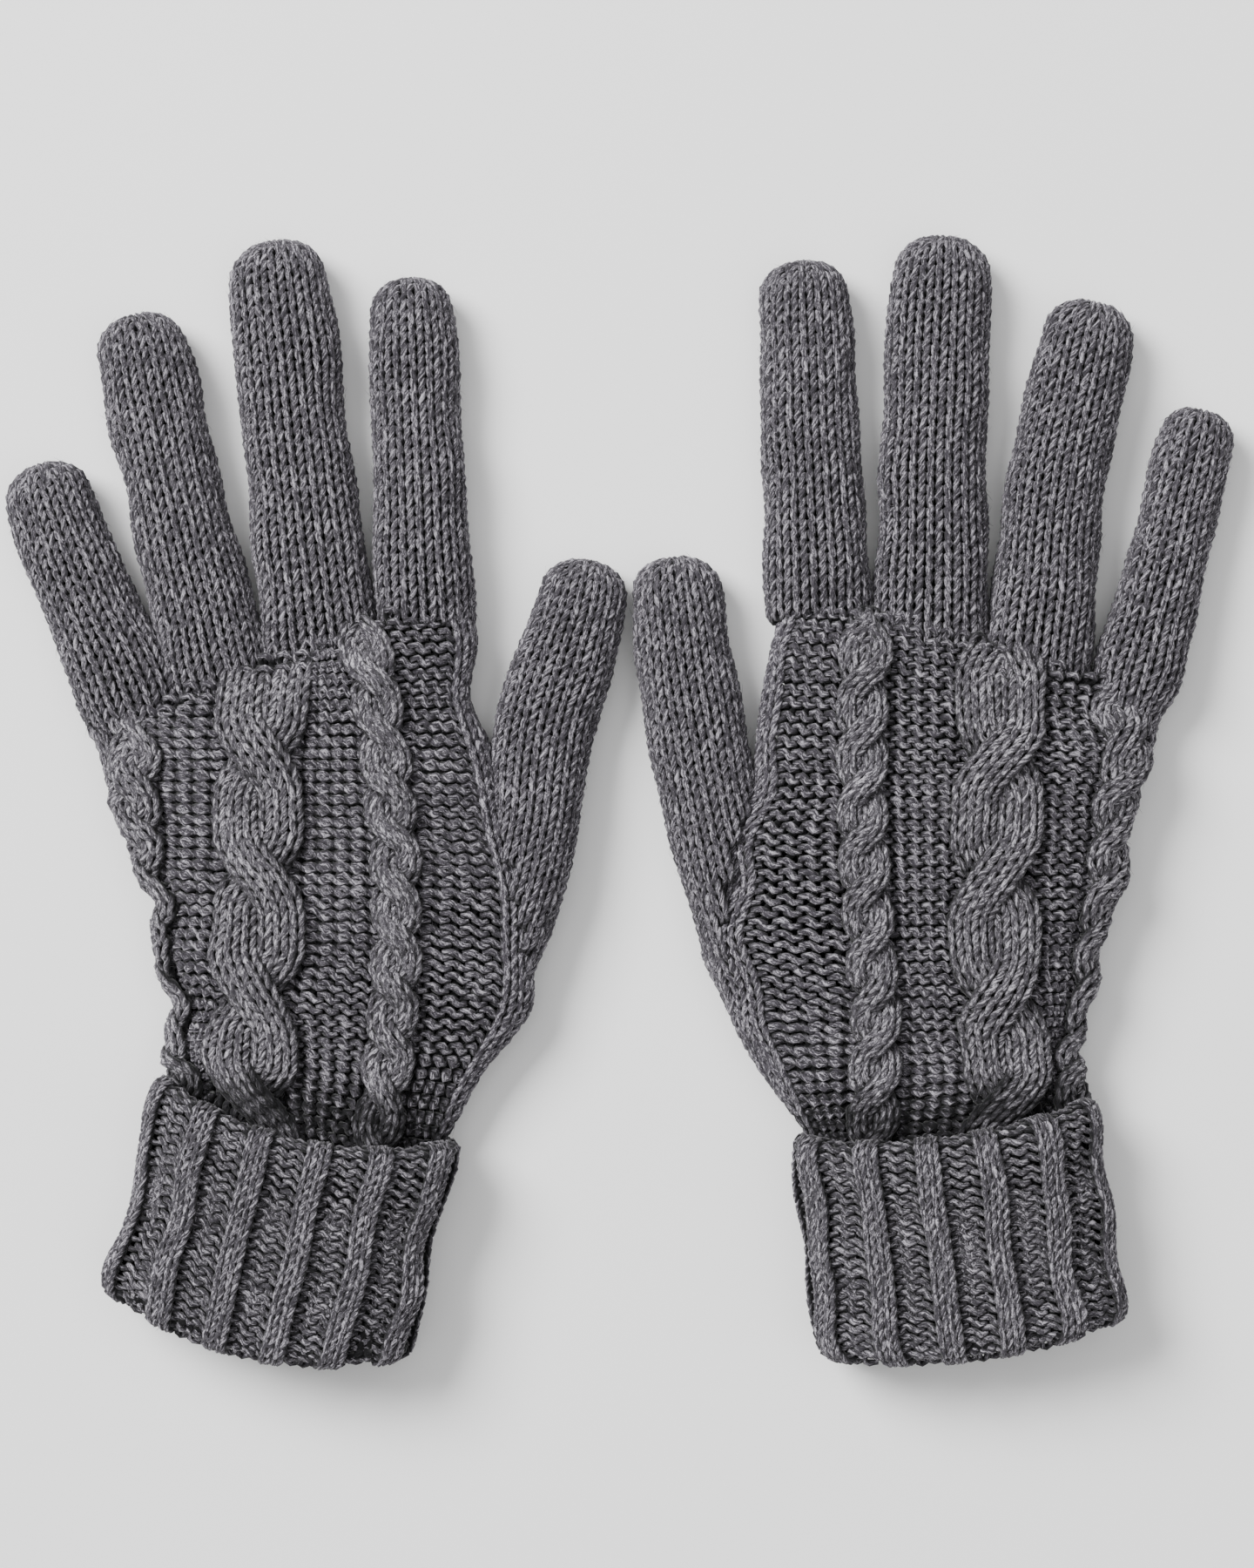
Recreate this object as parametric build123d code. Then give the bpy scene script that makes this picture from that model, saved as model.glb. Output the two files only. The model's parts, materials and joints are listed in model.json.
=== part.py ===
from build123d import *
import os
from dataclasses import dataclass
from math import atan2, cos, degrees, hypot, pi, radians, sin, sqrt

# A pair of hand-knitted gloves with cabled backs and turned-back ribbed cuffs.
# They lie side by side, palms down on Z = 0, with the fingers towards +Y and the
# left-hand glove at -X. Each region of the knitting is its own hollow, open solid.
# All sizes are in millimetres.

# Fabric
WALL = 3.2               # thickness of the knitted fabric
HAND_HEIGHT = 22.0       # palm to back across the hand
GUSSET_HEIGHT = 20.6     # palm to back across the thumb gusset
FINGER_HEIGHT = 17.0     # palm to back across a finger or thumb
MOVING_GAP = 0.8         # clear slot between neighbouring pieces that move apart

# Cuff
CUFF_WIDTH = 79.0        # turned-back layer, outside the ribs
CUFF_HEIGHT = 29.0
CUFF_LENGTH = 57.0
CUFF_CLEARANCE = 0.7     # between the two layers of the cuff
SLEEVE_SHORT = 1.5       # how far the inner layer stops short of the fold
RIB_COUNT = 20
RIB_RISE = 1.1           # how far a rib stands out of the turned-back layer
RIB_HALF_WIDTH = 2.6
ROLL_LENGTH = 5.0        # rolled free edge of the turned-back layer
ROLL_RISE = 0.9

# Fingertips
DOME_SHARE = 0.62        # length of the rounded tip as a share of the finger's width
CLOSURE_SHARE = 0.42     # length of the drawn-up closure as a share of the finger's width
CREASE_SHARE = 0.5       # where the middle crease lies between a finger's root and tip

# Cables
CABLE_RISE = 2.3         # how far a cable stands off the back
CABLE_BASE = 1.2         # height of the band that the crossing strands lie on
STRAND_SLANT = 38.0      # angle between a crossing strand and its cable, in degrees
STRAND_SPAN = 0.86       # length of a strand, as a share of the slanting width of its cable
STRAND_GIRTH = 0.42      # width of a strand, as a share of its cable's width

CUTTER = 400.0           # side of the blocks that trim the pieces
OVERRUN = 12.0           # how far tubes run past the planes that trim them


@dataclass
class Digit:
    name: str
    root: tuple          # centre of the tube where it leaves the hand
    tip: tuple           # outermost point
    width: float
    bow: float = 0.0     # sideways offset of the middle crease, towards +X


@dataclass
class Cable:
    name: str
    path: tuple          # centre line from the knuckles to the wrist
    width: float
    pitch: float         # distance from one crossing to the next


@dataclass
class Lay:
    side: str
    twist: int           # which way the crossing strands slant: 1 is towards +X going down
    knuckles: tuple      # ends of the line across the roots of the four fingers
    palm: tuple          # ends of the line across the middle of the palm
    heel: tuple          # ends of the line across the heel of the hand
    wrist: tuple         # centre of the wrist where the cuff begins
    cuff_turn: float     # direction of the line across the wrist, in degrees from +X
    gusset: tuple        # ends of three lines across the thumb gusset, from the thumb down
    fingers: tuple
    thumb: Digit
    cables: tuple


LEFT = Lay(
    side="left",
    twist=1,
    knuckles=((-131.6, 14.5), (-33.8, 50.9)),
    palm=((-121.5, -10.0), (-33.5, -4.0)),
    heel=((-109.2, -54.0), (-25.5, -60.5)),
    wrist=(-74.3, -77.0),
    cuff_turn=-12.9,
    gusset=(((-28.8, 18.4), (-3.8, 11.8)), ((-52.0, -15.0), (-9.2, -24.0)), ((-62.0, -52.0), (-23.5, -56.0))),
    fingers=(
        Digit("little", (-118.8, 19.3), (-142.8, 82.8), 23.0),
        Digit("ring", (-95.6, 28.0), (-118.5, 120.4), 24.0),
        Digit("middle", (-70.9, 37.1), (-83.4, 138.9), 26.4),
        Digit("index", (-45.2, 46.7), (-49.2, 129.6), 22.8),
    ),
    thumb=Digit("thumb", (-16.3, 15.1), (-5.2, 59.3), 24.2),
    cables=(
        Cable("wide_cable", ((-82.5, 27.0), (-86.0, -20.0), (-83.0, -64.0)), 21.0, 14.4),
        Cable("narrow_cable", ((-57.5, 37.5), (-51.0, -28.0), (-56.0, -69.0)), 12.0, 11.4),
        Cable("edge_cable", ((-119.0, 14.0), (-117.0, -20.0), (-113.0, -60.0)), 15.0, 11.4),
    ),
)

RIGHT = Lay(
    side="right",
    twist=-1,
    knuckles=((39.4, 53.0), (138.0, 21.8)),
    palm=((37.0, 0.0), (130.5, -8.0)),
    heel=((31.5, -58.0), (118.0, -56.0)),
    wrist=(82.5, -78.3),
    cuff_turn=7.6,
    gusset=(((9.4, 13.9), (34.4, 18.1)), ((15.2, -22.0), (60.0, -14.0)), ((28.5, -54.0), (66.0, -50.0))),
    fingers=(
        Digit("little", (127.2, 25.4), (146.2, 96.8), 19.6),
        Digit("ring", (105.8, 32.1), (122.1, 123.6), 24.2, -3.0),
        Digit("middle", (79.7, 40.4), (83.4, 140.2), 26.4, -0.8),
        Digit("index", (51.9, 49.1), (48.2, 133.9), 24.4),
    ),
    thumb=Digit("thumb", (21.9, 16.1), (14.9, 60.4), 24.2),
    cables=(
        Cable("wide_cable", ((93.5, 29.0), (94.5, -20.0), (91.5, -65.0)), 21.0, 14.4),
        Cable("narrow_cable", ((63.5, 40.5), (66.5, -20.0), (67.0, -68.0)), 12.0, 11.4),
        Cable("edge_cable", ((128.5, 16.0), (126.0, -20.0), (121.5, -60.0)), 15.0, 11.4),
    ),
)


def unit(start, end):
    """Direction in plan from one point to another."""
    length = hypot(end[0] - start[0], end[1] - start[1])
    return ((end[0] - start[0]) / length, (end[1] - start[1]) / length)


def along(point, direction, distance):
    """The plan point a distance away from another."""
    return (point[0] + direction[0] * distance, point[1] + direction[1] * distance)


def across(direction):
    """The plan direction a quarter turn to the left."""
    return (-direction[1], direction[0])


def upright(point, direction, height):
    """A plane at a height above a plan point, facing along a plan direction."""
    side = (direction[1], -direction[0], 0)
    return Plane(origin=(*point, height), x_dir=side, z_dir=(*direction, 0))


def stadium(ends, low, high, inset=0.0, shift=0.0):
    """Round-ended upright section standing over a plan line."""
    run = unit(*ends)
    middle = ((ends[0][0] + ends[1][0]) / 2, (ends[0][1] + ends[1][1]) / 2)
    forward = across(run)
    width = hypot(ends[1][0] - ends[0][0], ends[1][1] - ends[0][1]) - 2 * inset
    plane = upright(along(middle, forward, shift), forward, (low + high) / 2)
    return plane * SlotOverall(width, high - low - 2 * inset)


def half_space(point, direction):
    """A block that fills everything ahead of a vertical plane."""
    plane = upright(point, direction, 0)
    return extrude(plane * Rectangle(CUTTER, CUTTER), CUTTER)


def knuckle_forward(lay):
    """Plan direction straight ahead of the knuckle line."""
    return across(unit(*lay.knuckles))


def cuff_forward(lay):
    """Plan direction up the cuff, towards the fingers."""
    turn = radians(lay.cuff_turn)
    return (-sin(turn), cos(turn))


def sleeve_size():
    """Outside width and height of the inner layer of the cuff."""
    taken = 2 * (WALL + RIB_RISE + CUFF_CLEARANCE)
    return (CUFF_WIDTH - taken, CUFF_HEIGHT - taken)


def wrist_line(lay, width):
    forward = cuff_forward(lay)
    run = (forward[1], -forward[0])
    return (along(lay.wrist, run, -width / 2), along(lay.wrist, run, width / 2))


def hand_tube(lay, inset=0.0):
    """Flattened tube of the hand, from the wrist to the knuckles."""
    width, height = sleeve_size()
    wrist = wrist_line(lay, width)
    wrist_low = CUFF_HEIGHT / 2 - height / 2
    overrun = OVERRUN if inset else 0.0
    sections = [
        stadium(wrist, wrist_low, wrist_low + height, inset, shift=-overrun),
        stadium(wrist, wrist_low, wrist_low + height, inset),
        stadium(lay.heel, 0, HAND_HEIGHT, inset),
        stadium(lay.palm, 0, HAND_HEIGHT, inset),
        stadium(lay.knuckles, 0, HAND_HEIGHT, inset),
        stadium(lay.knuckles, 0, HAND_HEIGHT, inset, shift=overrun),
    ]
    if not inset:
        sections = sections[1:-1]
    return loft(sections, ruled=True)


def gusset_tube(lay, inset=0.0):
    """Tapering tube that widens out of the side of the hand into the thumb."""
    low = (HAND_HEIGHT - GUSSET_HEIGHT) / 2
    sections = [stadium(ends, low, low + GUSSET_HEIGHT, inset) for ends in lay.gusset[::-1]]
    thumb_low = stadium(lay.gusset[0], 0, FINGER_HEIGHT, inset)
    sections[-1] = thumb_low
    if inset:
        sections.append(stadium(lay.gusset[0], 0, FINGER_HEIGHT, inset, shift=OVERRUN))
    return loft(sections, ruled=True)


def crease(digit):
    """Centre of a finger's middle crease."""
    x = digit.root[0] + (digit.tip[0] - digit.root[0]) * CREASE_SHARE + digit.bow
    y = digit.root[1] + (digit.tip[1] - digit.root[1]) * CREASE_SHARE
    return (x, y)


def prism(start, end, width, height):
    """Straight oval tube, lying on its flat side, between two plan points."""
    direction = unit(start, end)
    face = upright(start, direction, FINGER_HEIGHT / 2) * Ellipse(width / 2, height / 2)
    return extrude(face, hypot(end[0] - start[0], end[1] - start[1]))


def rounded_end(start, end, width, height):
    """Oval tube that closes in a dome at its end."""
    direction = unit(start, end)
    length = hypot(end[0] - start[0], end[1] - start[1])
    dome = DOME_SHARE * width
    straight = prism(start, along(end, direction, -dome), width, height)
    sections = []
    for share in (0.0, 0.4, 0.7, 0.88, 0.97):
        size = sqrt(1 - share * share)
        plane = upright(along(start, direction, length - dome + share * dome), direction, FINGER_HEIGHT / 2)
        sections.append(plane * Ellipse(width / 2 * size, height / 2 * size))
    return straight + loft(sections)


def digit_parts(digit, forward):
    """Lower tube, upper tube and drawn-up closure of a finger or thumb."""
    middle = crease(digit)
    rise = unit(digit.root, middle)
    reach = unit(middle, digit.tip)
    inner_width = digit.width - 2 * WALL
    inner_height = FINGER_HEIGHT - 2 * WALL

    ends = (along(digit.root, rise, -OVERRUN), along(middle, rise, OVERRUN))
    lower = prism(*ends, digit.width, FINGER_HEIGHT) - prism(*ends, inner_width, inner_height)
    lower &= half_space(along(digit.root, forward, MOVING_GAP), forward)
    lower -= half_space(along(middle, forward, -MOVING_GAP / 2), forward)

    start = along(middle, reach, -OVERRUN)
    inner_tip = along(digit.tip, reach, -WALL)
    end = rounded_end(start, digit.tip, digit.width, FINGER_HEIGHT)
    end -= rounded_end(start, inner_tip, inner_width, inner_height)
    end &= half_space(along(middle, forward, MOVING_GAP / 2), forward)

    cut = along(digit.tip, reach, -CLOSURE_SHARE * digit.width)
    beyond = half_space(cut, reach)
    return lower, end - beyond, end & beyond


def fingers(lay):
    """The pieces of the four fingers."""
    forward = knuckle_forward(lay)
    pieces = {}
    for digit in lay.fingers:
        lower, upper, closure = digit_parts(digit, forward)
        pieces[f"{digit.name}_lower"] = lower
        pieces[f"{digit.name}_upper"] = upper
        pieces[f"{digit.name}_closure"] = closure
    return pieces


def cable(lay, spec, body):
    """Band of slanting, overlapping strands that stands off the back of the hand."""
    bottom = HAND_HEIGHT / 2
    height = HAND_HEIGHT / 2 + CABLE_RISE
    bands = []
    strands = []
    for start, end in zip(spec.path, spec.path[1:]):
        direction = unit(start, end)
        length = hypot(end[0] - start[0], end[1] - start[1])
        heading = degrees(atan2(direction[1], direction[0]))
        middle = along(start, direction, length / 2)
        band = Pos(*middle, bottom) * Rot(0, 0, heading) * Rectangle(length, spec.width)
        bands.append(extrude(band, height))
        count = round(length / spec.pitch)
        for index in range(count):
            centre = along(start, direction, (index + 0.5) * length / count)
            slant = heading + lay.twist * STRAND_SLANT
            reach = spec.width / sin(radians(STRAND_SLANT)) * STRAND_SPAN
            strand = Pos(*centre, bottom) * Rot(0, 0, slant) * SlotOverall(reach, spec.width * STRAND_GIRTH)
            strands.append(extrude(strand, height))
    rope = bands[0].fuse(*bands[1:]) & hand_tube(lay, -CABLE_BASE)
    rope += strands[0].fuse(*strands[1:]) & hand_tube(lay, -CABLE_RISE)
    forward = knuckle_forward(lay)
    ahead = half_space(along(lay.knuckles[0], forward, -MOVING_GAP), forward)
    forward = cuff_forward(lay)
    down = (-forward[0], -forward[1])
    behind = half_space(along(lay.wrist, forward, MOVING_GAP), down)
    return rope - body - ahead - behind


def cuff_layers(lay):
    """Inner sleeve and turned-back outer layer of the cuff."""
    forward = cuff_forward(lay)
    down = (-forward[0], -forward[1])
    plane = upright(lay.wrist, down, CUFF_HEIGHT / 2)
    width, height = sleeve_size()
    outside = SlotOverall(width, height)
    inside = SlotOverall(width - 2 * WALL, height - 2 * WALL)
    sleeve = extrude(plane * (outside - inside), CUFF_LENGTH - SLEEVE_SHORT)

    slack = 2 * CUFF_CLEARANCE
    hollow = SlotOverall(width + slack, height + slack)
    layer_width = CUFF_WIDTH - 2 * RIB_RISE
    layer_height = CUFF_HEIGHT - 2 * RIB_RISE
    layer = SlotOverall(layer_width, layer_height)
    for rib in rib_centres(layer_width, layer_height):
        layer += Pos(*rib) * Circle(RIB_HALF_WIDTH)
    roll = SlotOverall(layer_width + 2 * ROLL_RISE, layer_height + 2 * ROLL_RISE)
    start = upright(along(lay.wrist, down, MOVING_GAP), down, CUFF_HEIGHT / 2)
    turnback = extrude(start * (layer - hollow), CUFF_LENGTH - MOVING_GAP)
    turnback += extrude(start * (roll - hollow), ROLL_LENGTH)
    return sleeve, turnback


def rib_centres(width, height):
    """Centres of the ribs, evenly spaced round a round-ended section."""
    radius = height / 2
    flat = width - height
    perimeter = 2 * flat + 2 * pi * radius
    sink = RIB_HALF_WIDTH - RIB_RISE
    centres = []
    for index in range(RIB_COUNT):
        distance = (index + 0.5) * perimeter / RIB_COUNT
        if distance < flat:
            centres.append((distance - flat / 2, radius - sink))
            continue
        distance -= flat
        half_turn = pi * radius
        if distance < half_turn:
            angle = pi / 2 - distance / radius
            centres.append((flat / 2 + (radius - sink) * cos(angle), (radius - sink) * sin(angle)))
            continue
        distance -= half_turn
        if distance < flat:
            centres.append((flat / 2 - distance, sink - radius))
            continue
        distance -= flat
        angle = -pi / 2 - distance / radius
        centres.append((-flat / 2 + (radius - sink) * cos(angle), (radius - sink) * sin(angle)))
    return centres


def glove(lay):
    """Every piece of one glove, by name."""
    palm_outer = hand_tube(lay)
    palm_inner = hand_tube(lay, WALL)
    gusset_outer = gusset_tube(lay)
    gusset_inner = gusset_tube(lay, WALL)
    shell = palm_outer - palm_inner - gusset_inner
    upper_half = Pos(0, 0, HAND_HEIGHT / 2 + CUTTER / 2) * Box(CUTTER, CUTTER, CUTTER)
    pieces = {
        "back_panel": shell & upper_half,
        "palm_panel": shell - upper_half,
        "thumb_gusset": gusset_outer - palm_outer - gusset_inner,
    }
    for spec in lay.cables:
        pieces[spec.name] = cable(lay, spec, palm_outer)
    sleeve, turnback = cuff_layers(lay)
    pieces["cuff_sleeve"] = sleeve
    pieces["cuff_turnback"] = turnback
    pieces.update(fingers(lay))
    lower, upper, closure = digit_parts(lay.thumb, unit(lay.thumb.root, lay.thumb.tip))
    pieces["thumb_lower"] = lower
    pieces["thumb_upper"] = upper
    pieces["thumb_closure"] = closure
    return {f"{lay.side}_{name}": piece for name, piece in pieces.items()}


def pair():
    """Both gloves, centred in plan, with the soles of the palms on Z = 0."""
    pieces = {**glove(LEFT), **glove(RIGHT)}
    box = Compound(list(pieces.values())).bounding_box()
    centre = box.center()
    return {name: Pos(-centre.X, -centre.Y, 0) * piece for name, piece in pieces.items()}, centre


os.makedirs("parts", exist_ok=True)
pieces, centre = pair()
for name, piece in pieces.items():
    export_step(piece, f"parts/{name}.step")
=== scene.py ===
import json
import math

import bpy
import numpy as np
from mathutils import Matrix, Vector


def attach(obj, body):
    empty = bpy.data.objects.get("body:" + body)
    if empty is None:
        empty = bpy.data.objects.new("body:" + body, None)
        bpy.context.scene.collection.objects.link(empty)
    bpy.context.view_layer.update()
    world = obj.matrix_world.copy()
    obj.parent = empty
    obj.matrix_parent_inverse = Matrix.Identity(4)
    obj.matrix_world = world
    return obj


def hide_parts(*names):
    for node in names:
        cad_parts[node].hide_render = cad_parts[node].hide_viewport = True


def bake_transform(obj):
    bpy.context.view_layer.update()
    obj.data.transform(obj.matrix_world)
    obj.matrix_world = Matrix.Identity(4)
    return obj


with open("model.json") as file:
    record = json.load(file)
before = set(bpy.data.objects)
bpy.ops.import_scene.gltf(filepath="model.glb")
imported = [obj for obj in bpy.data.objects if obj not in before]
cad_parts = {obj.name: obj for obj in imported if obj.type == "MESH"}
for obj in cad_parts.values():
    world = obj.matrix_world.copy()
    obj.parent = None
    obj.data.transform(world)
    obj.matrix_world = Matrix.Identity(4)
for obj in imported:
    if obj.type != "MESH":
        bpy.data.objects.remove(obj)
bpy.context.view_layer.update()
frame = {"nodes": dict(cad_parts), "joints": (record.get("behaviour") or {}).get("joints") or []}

# A pair of knitted gloves, built loop by loop. Each region of a glove is a tube of fabric, and
# every course of its knitting is one swept yarn, bent into knit or purl loops on that tube.
# Lengths are in metres.
MM = 0.001
TURN = 2 * math.pi

# Yarn and stitches
YARN = {                       # radius of the yarn, which lies fuller where it is worked tighter
    "ground": 0.86 * MM,
    "plain": 0.76 * MM,
    "cable": 0.86 * MM,
    "rib": 0.80 * MM,
}
YARN_SIDES = 7
LOOP_STEPS = {"ground": 10, "plain": 11, "cable": 11, "rib": 10}   # points along one stitch's yarn
WALE = 4.3 * MM                # width of a stitch
COURSE = 2.85 * MM             # height of a stitch
TIGHTEST = 0.8                 # narrowest that a stitch gets before some are worked together
LOOP_SWING = 0.22              # how far a knit loop's legs lean out, in stitch widths
PURL_SWING = 0.23              # the same for a purl loop
LOOP_REACH = 0.92              # how far a knit loop reaches past its own course, in courses
PURL_REACH = 0.78              # the same for a purl loop
PURL_SLANT = 0.13              # how far the arcs of a purl loop tilt, in courses
LOOP_DEPTH = 0.74 * MM         # how far a loop bends in and out
PURL_SINK = 1.2                # how much further the legs of a purl loop lie back
PLY_RIDGE = 0.13               # depth of the twist ridges, as a share of the radius
PLY_PITCH = 10.0 * MM          # length of one turn of the twist
UNEVEN = 0.09                  # how uneven the hand knitting is
END_GIRTH = 0.35               # a yarn's cut end, as a share of its radius
FIBRE_SPREAD = 500             # each yarn takes its fibres from a place of its own in the noise
# openness, which drives painted shade: 0 deep in the fabric and 1 out in the light, with each yarn's top
# painted lighter than its sides
OPEN_MIDDLE, OPEN_DEPTH, OPEN_TURN, OPEN_UNEVEN = 0.25, 0.38, 0.50, 0.03
# loose hairs
FUZZ = {"ground": 0.11, "plain": 0.14, "cable": 0.22, "rib": 0.07}   # for each point along a yarn
FUZZ_LENGTH = (1.0 * MM, 2.4 * MM)
FUZZ_RADIUS = 0.045 * MM
FUZZ_SIDES = 3
FUZZ_RINGS = (0, 0.5, 1)       # rings along a hair, as shares of its length
FUZZ_STAND = (0.2, 0.25)       # how far hairs stand up, at least and by chance
FUZZ_VEER = 0.5                # how far they veer to the side
FUZZ_BEND = 0.25               # how far their tips bend, as a share of the length
FUZZ_DROOP = 0.3               # how far of that is back towards the yarn
FUZZ_TAPER = 0.8
HAIR_ROOT = 0.9                # where hairs start, as a share of the yarn's radius
UNDERSIDE = -0.1               # a yarn whose top faces down more than this has no hairs
# share of the bake's picture that the yarns' strips take, their margin, and where cut ends go
STRIP_SIZE, STRIP_MARGIN, END_SPOT = (0.998, 0.98), 0.001, 0.0005
WOBBLE = 0.022                 # slow waver of every tube, as a share of its size
WOBBLE_WAVES = ((1, 31.0), (2, 47.0), (3, 23.0))   # waves round the tube, and length along it in mm

rng = np.random.default_rng(20)


def vector(values):
    return np.array(values, float)


def unit(v):
    v = np.asarray(v, float)
    return v / np.maximum(np.linalg.norm(v, axis=-1, keepdims=True), 1e-12)


def smooth_curve(xs, ys, x):
    """Smooth curve through the points (xs, ys), at x, that runs on straight past its ends."""
    xs, ys = np.asarray(xs, float), np.asarray(ys, float)
    slope = np.gradient(ys, xs)
    k = np.clip(np.searchsorted(xs, x) - 1, 0, len(xs) - 2)
    h = xs[k + 1] - xs[k]
    t = (x - xs[k]) / h
    inside = np.clip(t, 0, 1)
    t2, t3 = inside**2, inside**3
    value = (2 * t3 - 3 * t2 + 1) * ys[k] + (t3 - 2 * t2 + inside) * h * slope[k]
    value += (3 * t2 - 2 * t3) * ys[k + 1] + (t3 - t2) * h * slope[k + 1]
    past_end = np.where(t > 1, (t - 1) * h * slope[k + 1], 0)
    before_start = np.where(t < 0, t * h * slope[k], 0)
    return value + past_end + before_start


RIM_SHARE = 0.9                # how much of a step in width counts as length along a tube
RING_POINTS = 721


class Tube:
    """A tube of fabric. Its sections are superellipses that stand across a centre line.

    u runs once round a section, from one side over the back to the other side and home
    under the palm; s runs along the tube, in metres.
    """

    def __init__(self, sections, squareness, mirrored=False, sag=(0, 0, 0)):
        # each section: centre (x, y, z), half width, half height, heading of the line across
        rows = np.array([[*c, a, b, heading] for c, a, b, heading in sections])
        steps = np.linalg.norm(np.diff(rows[:, :3], axis=0), axis=1)
        rim = np.abs(np.diff(rows[:, 3]))
        self.s = np.concatenate([[0], np.cumsum(np.hypot(steps, rim * RIM_SHARE))])
        self.rows = rows
        self.length = self.s[-1]
        self.side = -1 if mirrored else 1
        self.sag = vector(sag)                # how far the middle hangs past the two sides
        self.phase = rng.uniform(0, TURN, (2, len(WOBBLE_WAVES)))
        a, b = rows[len(rows) // 2, 3:5]
        angle = np.linspace(math.pi, -math.pi, RING_POINTS)
        power = 2 / squareness
        self.x = np.sign(np.cos(angle)) * np.abs(np.cos(angle)) ** power
        self.z = np.sign(np.sin(angle)) * np.abs(np.sin(angle)) ** power
        run = np.hypot(np.diff(self.x) * a, np.diff(self.z) * b)
        self.u = np.concatenate([[0], np.cumsum(run)]) / run.sum()
        self.outward = 1.0
        top_of_back = self.normal(vector([0.25]), vector([self.length * 0.5]))
        self.outward = 1.0 if top_of_back[0, 2] > 0 else -1.0

    def values(self, s):
        """The six values of a section, at s."""
        return [smooth_curve(self.s, self.rows[:, k], s) for k in range(6)]

    def waver(self, u, s):
        total = 0
        for k, (waves, length) in enumerate(WOBBLE_WAVES):
            round_it = np.sin(TURN * waves * u + self.phase[0, k])
            along_it = np.sin(TURN * s / (length * MM) + self.phase[1, k])
            total = total + round_it * along_it
        return 1 + WOBBLE * total

    def point(self, u, s):
        """Places on the surface. Only the back wavers in height, as the underside lies on the table."""
        u, s = np.mod(u, 1), np.minimum(s, self.length)
        cx, cy, cz, a, b, heading = self.values(s)
        waver = self.waver(u, s)
        share = np.interp(u, self.u, self.x)
        across = share * a * waver
        up = np.interp(u, self.u, self.z) * b
        up = np.where(up > 0, up * waver, up)
        x = cx + across * np.cos(heading) * self.side
        y = cy + across * np.sin(heading) * self.side
        return np.stack([x, y, cz + up], -1) + self.sag * (2 / 3 - share**2)[..., None]

    def normal(self, u, s):
        du, ds = 0.004, 0.5 * MM
        round_it = self.point(u + du, s) - self.point(u - du, s)
        s = np.minimum(s, self.length - ds)
        along_it = self.point(u, s + ds) - self.point(u, s - ds)
        return unit(np.cross(round_it, along_it)) * self.outward

    def girth(self, s):
        ring = self.point(np.linspace(0, 1, 97), np.full(97, s))
        return np.linalg.norm(np.diff(ring, axis=0), axis=1).sum()


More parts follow.
